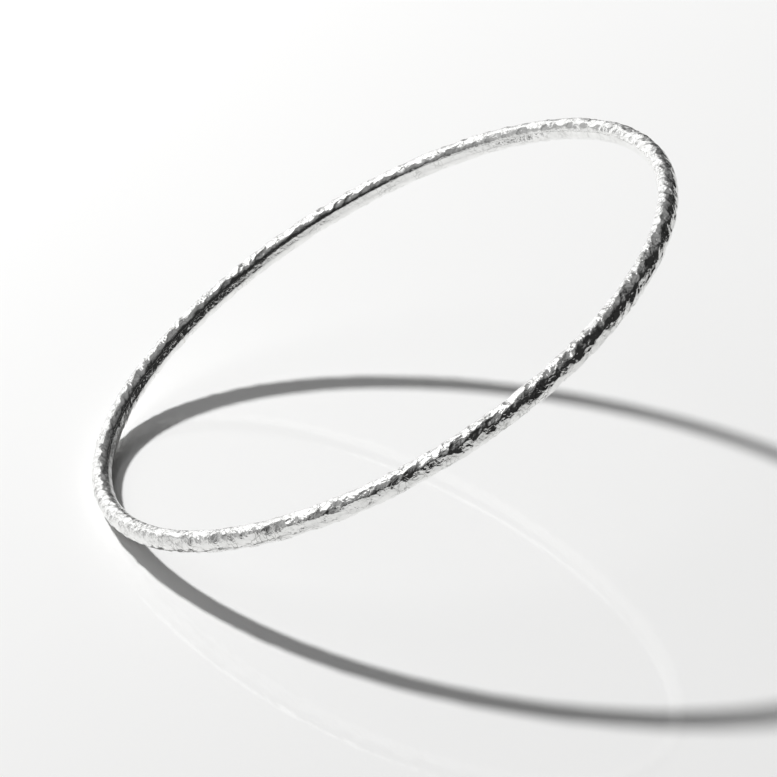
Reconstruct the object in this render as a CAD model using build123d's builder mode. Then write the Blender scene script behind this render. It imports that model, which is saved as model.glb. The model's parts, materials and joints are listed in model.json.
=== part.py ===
"""Hammered silver bangle: a length of oval wire bent into a hoop, its two ends soldered together.

Millimetres. The hoop lies flat on the plane z = 0. Its axis is +Z, and the origin is the point of
that axis on the plane that the hoop lies on. The seam faces +Y.
"""

import math
import os

from build123d import *

# Driving dimensions
inner_diameter = 63.5    # clear opening for the hand, an adult slip-on size
wall_thickness = 2.0     # radial thickness of the wire, flattened a little on the mandrel
band_height = 2.3        # height of the wire along the hoop's axis
land_height = 0.6        # height of the narrow inner land, where the wire lay against the mandrel
seam_width = 0.15        # thickness of the solder between the wire's ends, along the hoop
seam_direction = 90.0    # where the seam is round the hoop, in degrees from +X towards +Y

# The wire's section is an oval whose inner side the mandrel has worn straight over a narrow land
inner_radius = inner_diameter / 2
outer_radius = inner_radius + wall_thickness
half_height = band_height / 2
land_reach = math.sqrt(1 - (land_height / band_height) ** 2)   # share of the oval's half width
oval_half_width = wall_thickness / (1 + land_reach)
oval_radius = outer_radius - oval_half_width                   # hoop axis to the oval's centre

seam_angle = math.degrees(seam_width / oval_radius)


def radial_plane(angle):
    """Plane through the hoop's axis at this angle: local x points outwards and local y up."""
    outward = Vector(1, 0, 0).rotate(Axis.Z, angle)
    return Plane(origin=(0, 0, 0), x_dir=outward, z_dir=outward.cross(Vector(0, 0, 1)))


def wire_section(angle):
    """The wire's section, standing in the radial plane at this angle."""
    with BuildSketch(radial_plane(angle)) as section:
        with Locations((oval_radius, half_height)):
            Ellipse(oval_half_width, half_height)
        with Locations((inner_radius, half_height)):
            Rectangle(
                wall_thickness, band_height, align=(Align.MAX, Align.CENTER), mode=Mode.SUBTRACT
            )
    return section.sketch


# The wire, from one side of the seam round to the other
with BuildPart() as wire_hoop:
    revolve(
        wire_section(seam_direction + seam_angle / 2), axis=Axis.Z, revolution_arc=360 - seam_angle
    )

# The solder, a thin slice of the same section that fills the gap between the wire's ends
with BuildPart() as solder_seam:
    revolve(
        wire_section(seam_direction - seam_angle / 2), axis=Axis.Z, revolution_arc=seam_angle
    )

os.makedirs("parts", exist_ok=True)
wire_hoop.part.label = "wire_hoop"
export_step(wire_hoop.part, "parts/wire_hoop.step")
solder_seam.part.label = "solder_seam"
export_step(solder_seam.part, "parts/solder_seam.step")
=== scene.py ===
"""Looks of the hammered silver bangle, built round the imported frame.

Metres, in the row frame: the hoop lies flat at z = 0 round the +Z axis, and the seam faces +Y.
The photographed bangle is propped at a slant on a glossy white table. The object keeps its own
frame here, so the table leans instead: it is a slanted plane that touches the hoop at one point,
and the camera and the lights are set out from that plane.
"""

import json
import math

import bpy
import numpy as np
from mathutils import Matrix, Vector


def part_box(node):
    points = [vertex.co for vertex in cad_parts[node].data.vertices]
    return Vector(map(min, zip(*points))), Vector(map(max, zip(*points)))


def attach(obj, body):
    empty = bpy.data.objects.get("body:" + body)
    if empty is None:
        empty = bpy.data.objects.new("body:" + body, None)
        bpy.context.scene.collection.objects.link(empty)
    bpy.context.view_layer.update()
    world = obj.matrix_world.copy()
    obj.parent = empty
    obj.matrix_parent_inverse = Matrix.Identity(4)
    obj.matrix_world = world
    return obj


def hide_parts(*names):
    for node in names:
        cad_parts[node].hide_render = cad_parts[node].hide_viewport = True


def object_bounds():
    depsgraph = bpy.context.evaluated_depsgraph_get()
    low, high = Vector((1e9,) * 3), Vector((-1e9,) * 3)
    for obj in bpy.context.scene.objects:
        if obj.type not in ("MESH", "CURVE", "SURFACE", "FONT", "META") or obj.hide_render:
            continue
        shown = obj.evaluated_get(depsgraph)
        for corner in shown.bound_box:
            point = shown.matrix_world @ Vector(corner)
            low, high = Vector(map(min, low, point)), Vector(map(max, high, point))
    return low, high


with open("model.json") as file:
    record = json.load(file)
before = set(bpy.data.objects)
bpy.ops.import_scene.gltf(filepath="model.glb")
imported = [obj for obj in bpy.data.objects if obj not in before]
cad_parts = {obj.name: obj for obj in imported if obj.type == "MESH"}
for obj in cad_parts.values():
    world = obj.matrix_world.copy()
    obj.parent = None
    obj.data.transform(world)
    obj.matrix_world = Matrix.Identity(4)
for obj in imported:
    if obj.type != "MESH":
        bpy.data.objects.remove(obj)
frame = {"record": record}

cad_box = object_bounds()
mm = 0.001

# ---------------------------------------------------------------- sizes of the hoop, from the frame

wrist_opening = frame["record"]["mounts"][0]["dims"]
inner_radius = wrist_opening["r_mm"] * mm
land_height = wrist_opening["length_mm"] * mm
outer_radius = (cad_box[1].x - cad_box[0].x) / 2
band_height = cad_box[1].z - cad_box[0].z
wall = outer_radius - inner_radius
seam_low, seam_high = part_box("solder_seam")
seam_width = seam_high.x - seam_low.x
seam_direction = math.radians(90)

# The wire's section: an oval whose inner side is cut straight by the mandrel
land_reach = math.sqrt(1 - (land_height / band_height) ** 2)
oval_half_width = wall / (1 + land_reach)
oval_radius = outer_radius - oval_half_width
hoop_centre = Vector((0, 0, band_height / 2))

# ---------------------------------------------------------------- view, table and light

view_azimuth = math.radians(-35)       # round the hoop's axis, 0 looks along +Y
view_elevation = math.radians(24.9)    # above the hoop's plane
view_roll = math.radians(32.4)         # how far the hoop's level line turns anticlockwise in view
view_distance = 393 * mm
view_aim = (0.9 * mm, -6.2 * mm)       # the centre of the view from the hoop's centre: right, up
lens_length = 180.0                    # millimetres, behind a sensor 36 mm wide

table_slope = math.radians(26.2)       # between the table and the hoop's plane
table_downhill = math.radians(-45)     # the way the table falls away under the hoop, from +X
table_radius = 1.3

lamp_azimuth = math.radians(-145)      # from the camera's side, positive to the right
lamp_elevation = math.radians(37.6)    # above the table
lamp_distance = 1.25
lamp_size = 0.095                      # across, which sets how soft the shadow's edge is
lamp_power = 20.2                      # watts

# What the metal sees round it: a dark room with soft patches of light. Each patch is its azimuth
# and elevation from the table, its brightness, and how far from its middle it is still full and
# already gone. Angles in degrees
room_dark = 0.028
room_glow = (-115, 45, 0.28, 50, 85)
low_screen = (-148, 17, 0.98, 3, 34)
high_screen = (-105, 55, 1.6, 10, 35)
side_glow = (-98, 8, 0.2, 5, 36)
diffuse_share = 0.35                   # how much of that light the table's white surface receives
backdrop = 0.9                         # brightness of the pale studio behind everything


def view_axes():
    """The camera's right, up and forward directions."""
    level_right = Vector((math.cos(view_azimuth), math.sin(view_azimuth), 0))
    back = Vector((math.sin(view_azimuth), -math.cos(view_azimuth), 0))
    back = back * math.cos(view_elevation) + Vector((0, 0, math.sin(view_elevation)))
    roll = Matrix.Rotation(-view_roll, 3, back)
    right = roll @ level_right
    return right, back.cross(right), -back


def table_axes():
    """The table's up direction, and its level directions to the viewer's right and to the viewer."""
    downhill = Vector((math.cos(table_downhill), math.sin(table_downhill), 0))
    up = downhill * math.sin(table_slope) + Vector((0, 0, math.cos(table_slope)))
    forward = view_axes()[2]
    to_viewer = -(forward - up * forward.dot(up)).normalized()
    return up, up.cross(to_viewer), to_viewer


def table_direction(azimuth, elevation):
    """Direction seen from the table: azimuth from the viewer's side to the right."""
    up, right, to_viewer = table_axes()
    level = to_viewer * math.cos(azimuth) + right * math.sin(azimuth)
    return level * math.cos(elevation) + up * math.sin(elevation)


def make_camera():
    right, up, forward = view_axes()
    data = bpy.data.cameras.new("main_camera")
    data.sensor_width = 36.0
    data.lens = lens_length
    data.clip_start = 0.01
    data.clip_end = 10.0
    camera = bpy.data.objects.new("main_camera", data)
    bpy.context.scene.collection.objects.link(camera)
    aim = hoop_centre + right * view_aim[0] + up * view_aim[1]
    turn = Matrix((right, up, -forward)).transposed().to_4x4()
    camera.matrix_world = Matrix.Translation(aim - forward * view_distance) @ turn
    bpy.context.scene.camera = camera


# ---------------------------------------------------------------- the hammered surface

grid_step = 0.07 * mm                  # distance between neighbouring vertices of the hoop
wire_radius = (oval_half_width + band_height / 2) / 2
bend_reach = 0.45 * mm                 # the outline's bend is taken over this far either side
seed = 11

# The hammer marks are dishes, laid in rows round the wire. Where two numbers are given, each mark
# draws its own between them. Of a slant they are the mean and the spread, in degrees from the
# wire's own direction
hammer_rows = 8                        # rows of marks round the wire
hammer_pitch = 1.3 * mm                # from one mark to the next along a row
along_jitter = 0.45                    # shift along the row, as a share of the pitch
around_jitter = 0.38                   # shift across the row, as a share of the row's width
half_lengths = (0.65, 1.25)            # millimetres
half_widths = (0.42, 0.60)             # millimetres
slants = (14, 14)
flatness = (0.5, 1.1)                  # depth, 1 being just enough to make the mark flat across
proud = 0.040 * mm                     # the metal between two marks stands out by this

# Smaller marks strewn over the whole wire: how many, half widths and depths in millimetres
small_layers = (
    (1300, (0.20, 0.36), (0.028, 0.060)),
    (2500, (0.12, 0.20), (0.008, 0.020)),
)
small_stretch = (1.3, 2.6)             # length over width
small_slants = (30, 25)

# The inner side is calmer. Distances from the middle of the land at which it is fully so and no
# longer so, for the hammering and for the fine marks in the material
calm_hammering = (0.6 * mm, 1.3 * mm)
calm_fine_marks = (1.1 * mm, 1.8 * mm)
calming = 0.8                          # the share of the hammering's depth that is lost there


def section_outline(count):
    """Evenly spaced points round the wire's section, from the middle of the inner land.

    Returns rows of radial place, height, and the outward normal's radial and axial parts,
    and the way round the section from the land to each point.
    """
    turn = np.linspace(math.pi, 3 * math.pi, 40001)
    radial = np.maximum(np.cos(turn) * oval_half_width, -land_reach * oval_half_width)
    axial = np.sin(turn) * band_height / 2
    steps = np.hypot(np.diff(radial), np.diff(axial))
    way = np.concatenate([[0], np.cumsum(steps)])
    places = np.arange(count) * way[-1] / count
    radial = np.interp(places, way, radial)
    axial = np.interp(places, way, axial)
    slope_radial = np.roll(radial, -1) - np.roll(radial, 1)
    slope_axial = np.roll(axial, -1) - np.roll(axial, 1)
    length = np.hypot(slope_radial, slope_axial)
    points = np.stack([oval_radius + radial, band_height / 2 + axial], axis=1)
    normals = np.stack([slope_axial / length, -slope_radial / length], axis=1)
    return points, normals, places, way[-1]


def section_bend(reach):
    """How fast the outline turns at each point, in radians per metre, over this reach either side."""
    direction = np.unwrap(np.arctan2(outline_normals[:, 1], outline_normals[:, 0]))
    whole = np.concatenate([direction - 2 * math.pi, direction, direction + 2 * math.pi])
    ways = np.concatenate([outline_places - girth, outline_places, outline_places + girth])
    before = np.interp(outline_places - reach, ways, whole)
    after = np.interp(outline_places + reach, ways, whole)
    return (after - before) / (2 * reach)


section_count = int(round(math.pi * 2 * wire_radius / grid_step / 2)) * 2
outline, outline_normals, outline_places, girth = section_outline(section_count)
outline_bend = section_bend(bend_reach)
hoop_length = 2 * math.pi * oval_radius


def wrapped(distance, period):
    """The distance taken the short way round."""
    return (distance + period / 2) % period - period / 2


def hammer_blows(rng):
    """Hammer marks: place along the hoop, place round the wire, half length, half width, turn, depth."""
    columns = int(hoop_length / hammer_pitch)
    blows = []
    for row in range(hammer_rows):
        for column in range(columns):
            stagger = 0.5 * (row % 2) + rng.uniform(-along_jitter, along_jitter)
            along = (column + stagger) * hoop_length / columns
            around = (row + rng.uniform(-around_jitter, around_jitter)) * girth / hammer_rows
            half_length = rng.uniform(*half_lengths) * mm
            half_width = rng.uniform(*half_widths) * mm
            slant = math.radians(rng.normal(*slants))
            bend = np.interp(around % girth, outline_places, outline_bend)
            depth = half_width ** 2 / 2 * bend * rng.uniform(*flatness)
            blows.append((along, around, half_length, half_width, slant, depth))
    return blows


def small_marks(rng, count, widths, depths):
    """One layer of the smaller marks, in the same form as the hammer blows."""
    marks = []
    for _ in range(count):
        half_width = rng.uniform(*widths) * mm
        marks.append((
            rng.uniform(0, hoop_length),
            rng.uniform(0, girth),
            half_width * rng.uniform(*small_stretch),
            half_width,
            math.radians(rng.normal(*small_slants)),
            rng.uniform(*depths) * mm,
        ))
    return marks


def inner_share(full, gone):
    """How far each point of the outline belongs to the inner side.

    The share is 1 up to the first distance from the middle of the land, and 0 from the second on.
    """
    from_land = np.abs(wrapped(outline_places, girth))
    return np.clip((gone - from_land) / (gone - full), 0, 1)


def press(depth, mark, angles_along):
    """Presses one mark into the grid of depths, as a shallow dish."""
    along, around, half_length, half_width, slant, deepest = mark
    reach = max(half_length, half_width)
    gap = wrapped(angles_along - along, hoop_length)
    columns = np.nonzero(np.abs(gap) < reach)[0]
    if len(columns) == 0:
        return
    side = wrapped(outline_places - around, girth)
    rows = np.nonzero(np.abs(side) < reach)[0]
    x = gap[columns][:, None]
    y = side[rows][None, :]
    length_part = (x * math.cos(slant) + y * math.sin(slant)) / half_length
    width_part = (y * math.cos(slant) - x * math.sin(slant)) / half_width
    dish = deepest * (1 - length_part ** 2 - width_part ** 2)
    window = np.ix_(columns, rows)
    depth[window] = np.maximum(depth[window], dish)


def hammered_depth(angles):
    """Depth of the hammering under the plain oval, for columns at these angles round the hoop."""
    rng = np.random.default_rng(seed)
    angles_along = angles * oval_radius
    layers = [hammer_blows(rng)]
    for small_layer in small_layers:
        layers.append(small_marks(rng, *small_layer))
    depth = np.zeros((len(angles), section_count))
    for marks in layers:
        layer = np.zeros_like(depth)
        for mark in marks:
            press(layer, mark, angles_along)
        depth += layer
    calm = inner_share(*calm_hammering)[None, :]
    return depth * (1 - calming * calm) - proud * (1 - calm)


def hoop_waver(angles):
    """Slow unevenness of a hoop that was rounded by hand: radial and axial shifts.

    The factors before the waves are in millimetres.
    """
    radial = 0.07 * np.sin(2 * angles + 0.6) + 0.05 * np.sin(3 * angles + 2.1)
    axial = 0.03 * np.sin(2 * angles + 1.4)
    return radial * mm, axial * mm


def ring_mesh(name, angles):
    """A closed length of the hammered wire with a column of vertices at each of these angles."""
    depth = hammered_depth(angles)
    radial_waver, axial_waver = hoop_waver(angles)
    radial = outline[None, :, 0] - depth * outline_normals[None, :, 0] + radial_waver[:, None]
    axial = outline[None, :, 1] - depth * outline_normals[None, :, 1] + axial_waver[:, None]
    x = radial * np.cos(angles)[:, None]
    y = radial * np.sin(angles)[:, None]
    vertices = np.stack([x, y, axial], axis=2).reshape(-1, 3)
    columns = np.arange(len(angles) - 1)[:, None] * section_count
    rows = np.arange(section_count)[None, :]
    next_rows = (rows + 1) % section_count
    faces = np.stack([
        columns + rows,
        columns + section_count + rows,
        columns + section_count + next_rows,
        columns + next_rows,
    ], axis=2).reshape(-1, 4)
    first_cap = list(range(section_count))
    last_cap = [(len(angles) - 1) * section_count + row for row in reversed(range(section_count))]
    mesh = bpy.data.meshes.new(name)
    mesh.from_pydata(vertices.tolist(), [], faces.tolist() + [first_cap, last_cap])
    mesh.update()
    smooth = np.ones(len(mesh.polygons), dtype=bool)
    smooth[-2:] = False
    mesh.polygons.foreach_set("use_smooth", smooth)
    inner_side = mesh.attributes.new("inner_side", "FLOAT", "POINT")
    inner_side.data.foreach_set("value", np.tile(inner_share(*calm_fine_marks), len(angles)))
    piece = bpy.data.objects.new(name, mesh)
    bpy.context.scene.collection.objects.link(piece)
    return piece


def make_hoop():
    half_seam = seam_width / 2 / oval_radius
    count = int(hoop_length / grid_step)
    angles = np.linspace(half_seam, 2 * math.pi - half_seam, count) + seam_direction
    return ring_mesh("hammered_hoop", angles)


def make_seam():
    half_seam = seam_width / 2 / oval_radius
    count = int(seam_width / grid_step) + 2
    angles = np.linspace(-half_seam, half_seam, count) + seam_direction
    return ring_mesh("soldered_seam", angles)


# ---------------------------------------------------------------- materials

def new_material(name):
    """A new node material: the material, its tree and its shader."""
    material = bpy.data.materials.new(name)
    material.use_nodes = True
    tree = material.node_tree
    shader = tree.nodes["Principled BSDF"]
    return material, tree, shader


def noise(tree, scale, detail):
    """Noise in the object's own coordinates, so that it stays on the metal in every view.

    The scale is the number of its cells in a metre.
    """
    place = tree.nodes.new("ShaderNodeTexCoord")
    texture = tree.nodes.new("ShaderNodeTexNoise")
    texture.inputs["Scale"].default_value = scale
    texture.inputs["Detail"].default_value = detail
    tree.links.new(place.outputs["Object"], texture.inputs["Vector"])
    return texture.outputs["Fac"]


def mapped(tree, value, low, high, out_low, out_high, way="LINEAR"):
    """The value moved from one range to another, and kept inside it."""
    node = tree.nodes.new("ShaderNodeMapRange")
    node.interpolation_type = way
    node.inputs["From Min"].default_value = low
    node.inputs["From Max"].default_value = high
    node.inputs["To Min"].default_value = out_low
    node.inputs["To Max"].default_value = out_high
    tree.links.new(value, node.inputs["Value"])
    return node.outputs["Result"]


def maths(tree, operation, first, second):
    """The two values put through one arithmetic step. Each is a node's output or a number."""
    node = tree.nodes.new("ShaderNodeMath")
    node.operation = operation
    for socket, value in zip(node.inputs, (first, second)):
        if isinstance(value, float):
            socket.default_value = value
        else:
            tree.links.new(value, socket)
    return node.outputs["Value"]


def blended(tree, value, first, second):
    """A colour that goes from the first to the second with the value. Each is a tone or an output."""
    node = tree.nodes.new("ShaderNodeMix")
    node.data_type = "RGBA"
    for socket, colour in ((node.inputs["A"], first), (node.inputs["B"], second)):
        if isinstance(colour, tuple):
            socket.default_value = (*colour, 1)
        else:
            tree.links.new(colour, socket)
    tree.links.new(value, node.inputs["Factor"])
    return node.outputs["Result"]


def bump(tree, height, distance, under=None):
    """A surface raised by the height times the distance, on top of the bumps under it."""
    node = tree.nodes.new("ShaderNodeBump")
    node.inputs["Distance"].default_value = distance
    node.inputs["Strength"].default_value = 1.0
    tree.links.new(height, node.inputs["Height"])
    if under is not None:
        tree.links.new(under, node.inputs["Normal"])
    return node.outputs["Normal"]


def cells(tree, scale, warp):
    """Thin creases between irregular cells, in the object's own coordinates.

    The scale is the number of cells in a metre. Returns 0 in a crease and 1 away from it.
    """
    place = tree.nodes.new("ShaderNodeTexCoord")
    shift = tree.nodes.new("ShaderNodeTexNoise")
    shift.inputs["Scale"].default_value = scale * 0.8
    tree.links.new(place.outputs["Object"], shift.inputs["Vector"])
    moved = tree.nodes.new("ShaderNodeVectorMath")
    moved.operation = "MULTIPLY_ADD"
    moved.inputs[1].default_value = (warp, warp, warp)
    tree.links.new(shift.outputs["Color"], moved.inputs[0])
    tree.links.new(place.outputs["Object"], moved.inputs[2])
    texture = tree.nodes.new("ShaderNodeTexVoronoi")
    texture.feature = "DISTANCE_TO_EDGE"
    texture.inputs["Scale"].default_value = scale
    tree.links.new(moved.outputs["Vector"], texture.inputs["Vector"])
    return mapped(tree, texture.outputs["Distance"], 0.0, 0.1, 0.0, 1.0)


def silver(name, bright, dull, crease_shade_tone, roughness_low, roughness_high):
    """Polished silver: uneven tone and gloss, painted shade darkening the creases here and there, and
    fine ripples.

    The creases and ripples are half as strong on the inner side, which the hammer doesn't reach.
    """
    material, tree, shader = new_material(name)
    shader.inputs["Metallic"].default_value = 1.0
    inner_side = tree.nodes.new("ShaderNodeAttribute")
    inner_side.attribute_name = "inner_side"
    hammered = mapped(tree, inner_side.outputs["Fac"], 0.0, 1.0, 1.0, 0.5)

    unevenness = mapped(tree, noise(tree, 900, 4), 0.35, 0.65, 0.0, 1.0)
    polished = blended(tree, unevenness, bright, dull)
    creases = cells(tree, 1500, 0.9 * mm)
    # Painted shade: the creases are darkened in patches, standing in for the dark lines their steep
    # sides reflect. It is halved on the inner side.
    crease_shade_patches = mapped(tree, noise(tree, 520, 2), 0.45, 0.61, 0.0, 0.95)
    crease_shade_patches = maths(tree, "MULTIPLY", crease_shade_patches, hammered)
    painted_crease_shade = maths(tree, "MULTIPLY", maths(tree, "SUBTRACT", 1.0, creases), crease_shade_patches)
    tree.links.new(blended(tree, painted_crease_shade, polished, crease_shade_tone), shader.inputs["Base Color"])
    gloss = mapped(tree, noise(tree, 1400, 3), 0.3, 0.7, roughness_low, roughness_high)
    tree.links.new(gloss, shader.inputs["Roughness"])

    creased = bump(tree, maths(tree, "MULTIPLY", creases, hammered), 0.011 * mm)
    rippled = mapped(tree, noise(tree, 700, 1), 0.38, 0.58, 0.2, 1.0)
    rippled = maths(tree, "MULTIPLY", rippled, hammered)
    ripples = maths(tree, "MULTIPLY", noise(tree, 3200, 0), rippled)
    planished = bump(tree, ripples, 0.06 * mm, under=creased)
    grain = bump(tree, noise(tree, 9000, 1), 0.003 * mm, under=planished)
    tree.links.new(grain, shader.inputs["Normal"])
    return material


def table_material():
    """Glossy white table top. Seen from below it lets the view through, so no angle is blocked."""
    material, tree, shader = new_material("table_white")
    shader.inputs["Base Color"].default_value = (0.93, 0.93, 0.925, 1)
    shader.inputs["Roughness"].default_value = 0.04
    shader.inputs["IOR"].default_value = 1.35
    side = tree.nodes.new("ShaderNodeNewGeometry")
    ray = tree.nodes.new("ShaderNodeLightPath")
    seen_from_below = maths(tree, "MULTIPLY", side.outputs["Backfacing"], ray.outputs["Is Camera Ray"])
    clear = tree.nodes.new("ShaderNodeBsdfTransparent")
    choice = tree.nodes.new("ShaderNodeMixShader")
    tree.links.new(seen_from_below, choice.inputs["Fac"])
    tree.links.new(shader.outputs["BSDF"], choice.inputs[1])
    tree.links.new(clear.outputs["BSDF"], choice.inputs[2])
    tree.links.new(choice.outputs["Shader"], tree.nodes["Material Output"].inputs["Surface"])
    return material


# ---------------------------------------------------------------- table, light and surroundings

def make_table(hoop):
    """A round white table top that touches the hoop's lowest point from below."""
    up, right, to_viewer = table_axes()
    places = np.empty(len(hoop.data.vertices) * 3)
    hoop.data.vertices.foreach_get("co", places)
    height = float((places.reshape(-1, 3) @ np.array(up)).min())
    middle = hoop_centre + up * (height - hoop_centre.dot(up))
    corners = []
    count = 96
    for index in range(count):
        turn = 2 * math.pi * index / count
        corners.append(middle + (right * math.cos(turn) - to_viewer * math.sin(turn)) * table_radius)
    mesh = bpy.data.meshes.new("table")
    mesh.from_pydata([tuple(corner) for corner in corners], [], [list(range(count))])
    mesh.update()
    if mesh.polygons[0].normal.dot(up) < 0:
        mesh.flip_normals()
    table = bpy.data.objects.new("table", mesh)
    bpy.context.scene.collection.objects.link(table)
    table.data.materials.append(table_material())
    return middle


def make_lamp(middle):
    """A round soft lamp that faces the middle of the table and throws the hoop's shadow on it."""
    data = bpy.data.lights.new("key_lamp", "AREA")
    data.shape = "DISK"
    data.size = lamp_size
    data.energy = lamp_power
    lamp = bpy.data.objects.new("key_lamp", data)
    bpy.context.scene.collection.objects.link(lamp)
    direction = table_direction(lamp_azimuth, lamp_elevation)
    lamp.location = middle + direction * lamp_distance
    lamp.rotation_mode = "QUATERNION"
    lamp.rotation_quaternion = direction.to_track_quat("Z", "Y")
    lamp.visible_camera = False
    lamp.visible_glossy = False


def soft_light(tree, azimuth, elevation, brightness, full, gone):
    """Brightness of a patch of light that fades out between two angles from its middle."""
    place = tree.nodes.new("ShaderNodeTexCoord")
    toward = tree.nodes.new("ShaderNodeVectorMath")
    toward.operation = "DOT_PRODUCT"
    toward.inputs[1].default_value = table_direction(math.radians(azimuth), math.radians(elevation))
    tree.links.new(place.outputs["Generated"], toward.inputs[0])
    edge = math.cos(math.radians(gone))
    core = math.cos(math.radians(full))
    return mapped(tree, toward.outputs["Value"], edge, core, 0.0, brightness, "SMOOTHSTEP")


def make_surroundings():
    """A pale studio for the view, and a dark room with soft lights for what the metal reflects."""
    world = bpy.data.worlds.new("studio")
    bpy.context.scene.world = world
    world.use_nodes = True
    tree = world.node_tree
    glow = room_dark
    for patch in (room_glow, low_screen, high_screen, side_glow):
        glow = maths(tree, "ADD", soft_light(tree, *patch), glow)
    ray = tree.nodes.new("ShaderNodeLightPath")
    dimming = maths(tree, "MULTIPLY", ray.outputs["Is Diffuse Ray"], 1 - diffuse_share)
    glow = maths(tree, "MULTIPLY", glow, maths(tree, "SUBTRACT", 1.0, dimming))
    strength = tree.nodes.new("ShaderNodeMix")
    strength.data_type = "FLOAT"
    strength.inputs["B"].default_value = backdrop
    tree.links.new(ray.outputs["Is Camera Ray"], strength.inputs["Factor"])
    tree.links.new(glow, strength.inputs["A"])
    background = tree.nodes["Background"]
    background.inputs["Color"].default_value = (1, 1, 1, 1)
    tree.links.new(strength.outputs["Result"], background.inputs["Strength"])


# ---------------------------------------------------------------- the scene

bpy.context.scene.view_settings.view_transform = "Standard"

hoop = make_hoop()
# The third tone is the painted shade in the creases.
hoop.data.materials.append(
    silver("hammered_silver", (0.87, 0.87, 0.86), (0.80, 0.80, 0.79), (0.34, 0.34, 0.33), 0.04, 0.10)
)
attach(hoop, "root")
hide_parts("wire_hoop")

seam = make_seam()
# The third tone is the painted shade in the creases.
seam.data.materials.append(
    silver("silver_solder", (0.83, 0.82, 0.79), (0.76, 0.75, 0.71), (0.32, 0.31, 0.29), 0.12, 0.22)
)
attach(seam, "root")
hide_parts("solder_seam")

make_camera()
table_middle = make_table(hoop)
make_lamp(table_middle)
make_surroundings()
